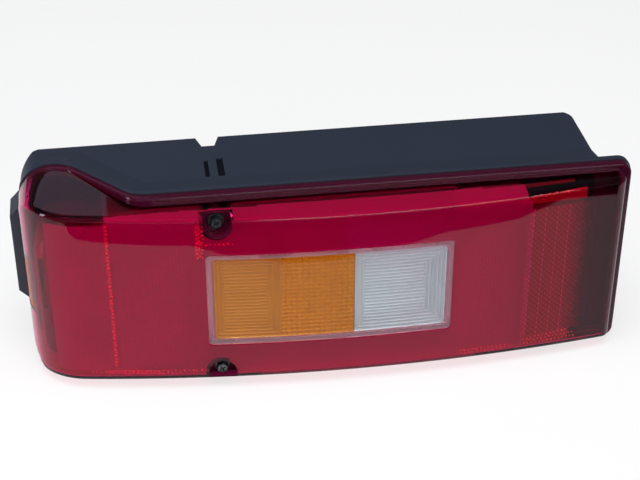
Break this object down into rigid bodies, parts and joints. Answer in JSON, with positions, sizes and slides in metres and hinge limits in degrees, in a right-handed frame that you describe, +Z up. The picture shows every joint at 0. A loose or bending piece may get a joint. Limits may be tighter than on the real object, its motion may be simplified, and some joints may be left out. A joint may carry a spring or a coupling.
{
  "type": "truck rear combination lamp",
  "caption": "Long rear lamp for a heavy truck: bowed red lens wrapped round the outer end, amber and clear fluted window, reflex reflector, black tub, studs and socket at the back.",
  "frame": {"origin": "middle of the stud pattern, on the flat back of the tub", "axes": "+X along the lamp to the right seen from the front (towards the vehicle's middle), -Y to the front through the lens, +Z up"},
  "size_m": [0.4375, 0.135, 0.1524],
  "materials": {
    "tub_plastic": "fine satin moulding",
    "red_lens": "polished, transparent red",
    "frame_plastic": "polished, clear with a pink tinge from the red round it",
    "amber_lens": "fluted, transparent amber",
    "clear_lens": "fluted, clear",
    "reflex_plastic": "prismatic red",
    "seal_rubber": "matt",
    "screw_steel": "zinc plated",
    "stud_steel": "zinc plated",
    "silvered_plastic": "vacuum silvered",
    "holder_plastic": "matt",
    "socket_plastic": "matt",
    "cap_brass": "nickel-free brass, dull",
    "amber_glass": "clear amber",
    "bulb_glass": "clear",
    "contact_brass": "rolled"
  },
  "bodies": {
    "root": {"tub": "tub_plastic", "lens": "red_lens", "window_frame": "frame_plastic", "amber_insert": "amber_lens", "clear_insert": "clear_lens", "marker_insert": "amber_lens", "reflex_plate": "reflex_plastic", "lens_seal": "seal_rubber", "lens_screws": "screw_steel", "tail_tray": "silvered_plastic", "window_tray": "silvered_plastic", "fog_tray": "silvered_plastic", "tray_screws": "screw_steel", "tail_holder": "holder_plastic", "stop_holder": "holder_plastic", "indicator_holder": "holder_plastic", "reversing_holder": "holder_plastic", "fog_holder": "holder_plastic", "tail_cap": "cap_brass", "stop_cap": "cap_brass", "indicator_cap": "cap_brass", "reversing_cap": "cap_brass", "fog_cap": "cap_brass", "tail_glass": "bulb_glass", "stop_glass": "bulb_glass", "indicator_glass": "amber_glass", "reversing_glass": "bulb_glass", "fog_glass": "bulb_glass", "earth_strip": "contact_brass", "feed_strips": "contact_brass", "socket_body": "socket_plastic", "socket_pins": "contact_brass", "socket_seal": "seal_rubber", "mounting_studs": "stud_steel", "breather": "seal_rubber"}
  },
  "joints": []
}
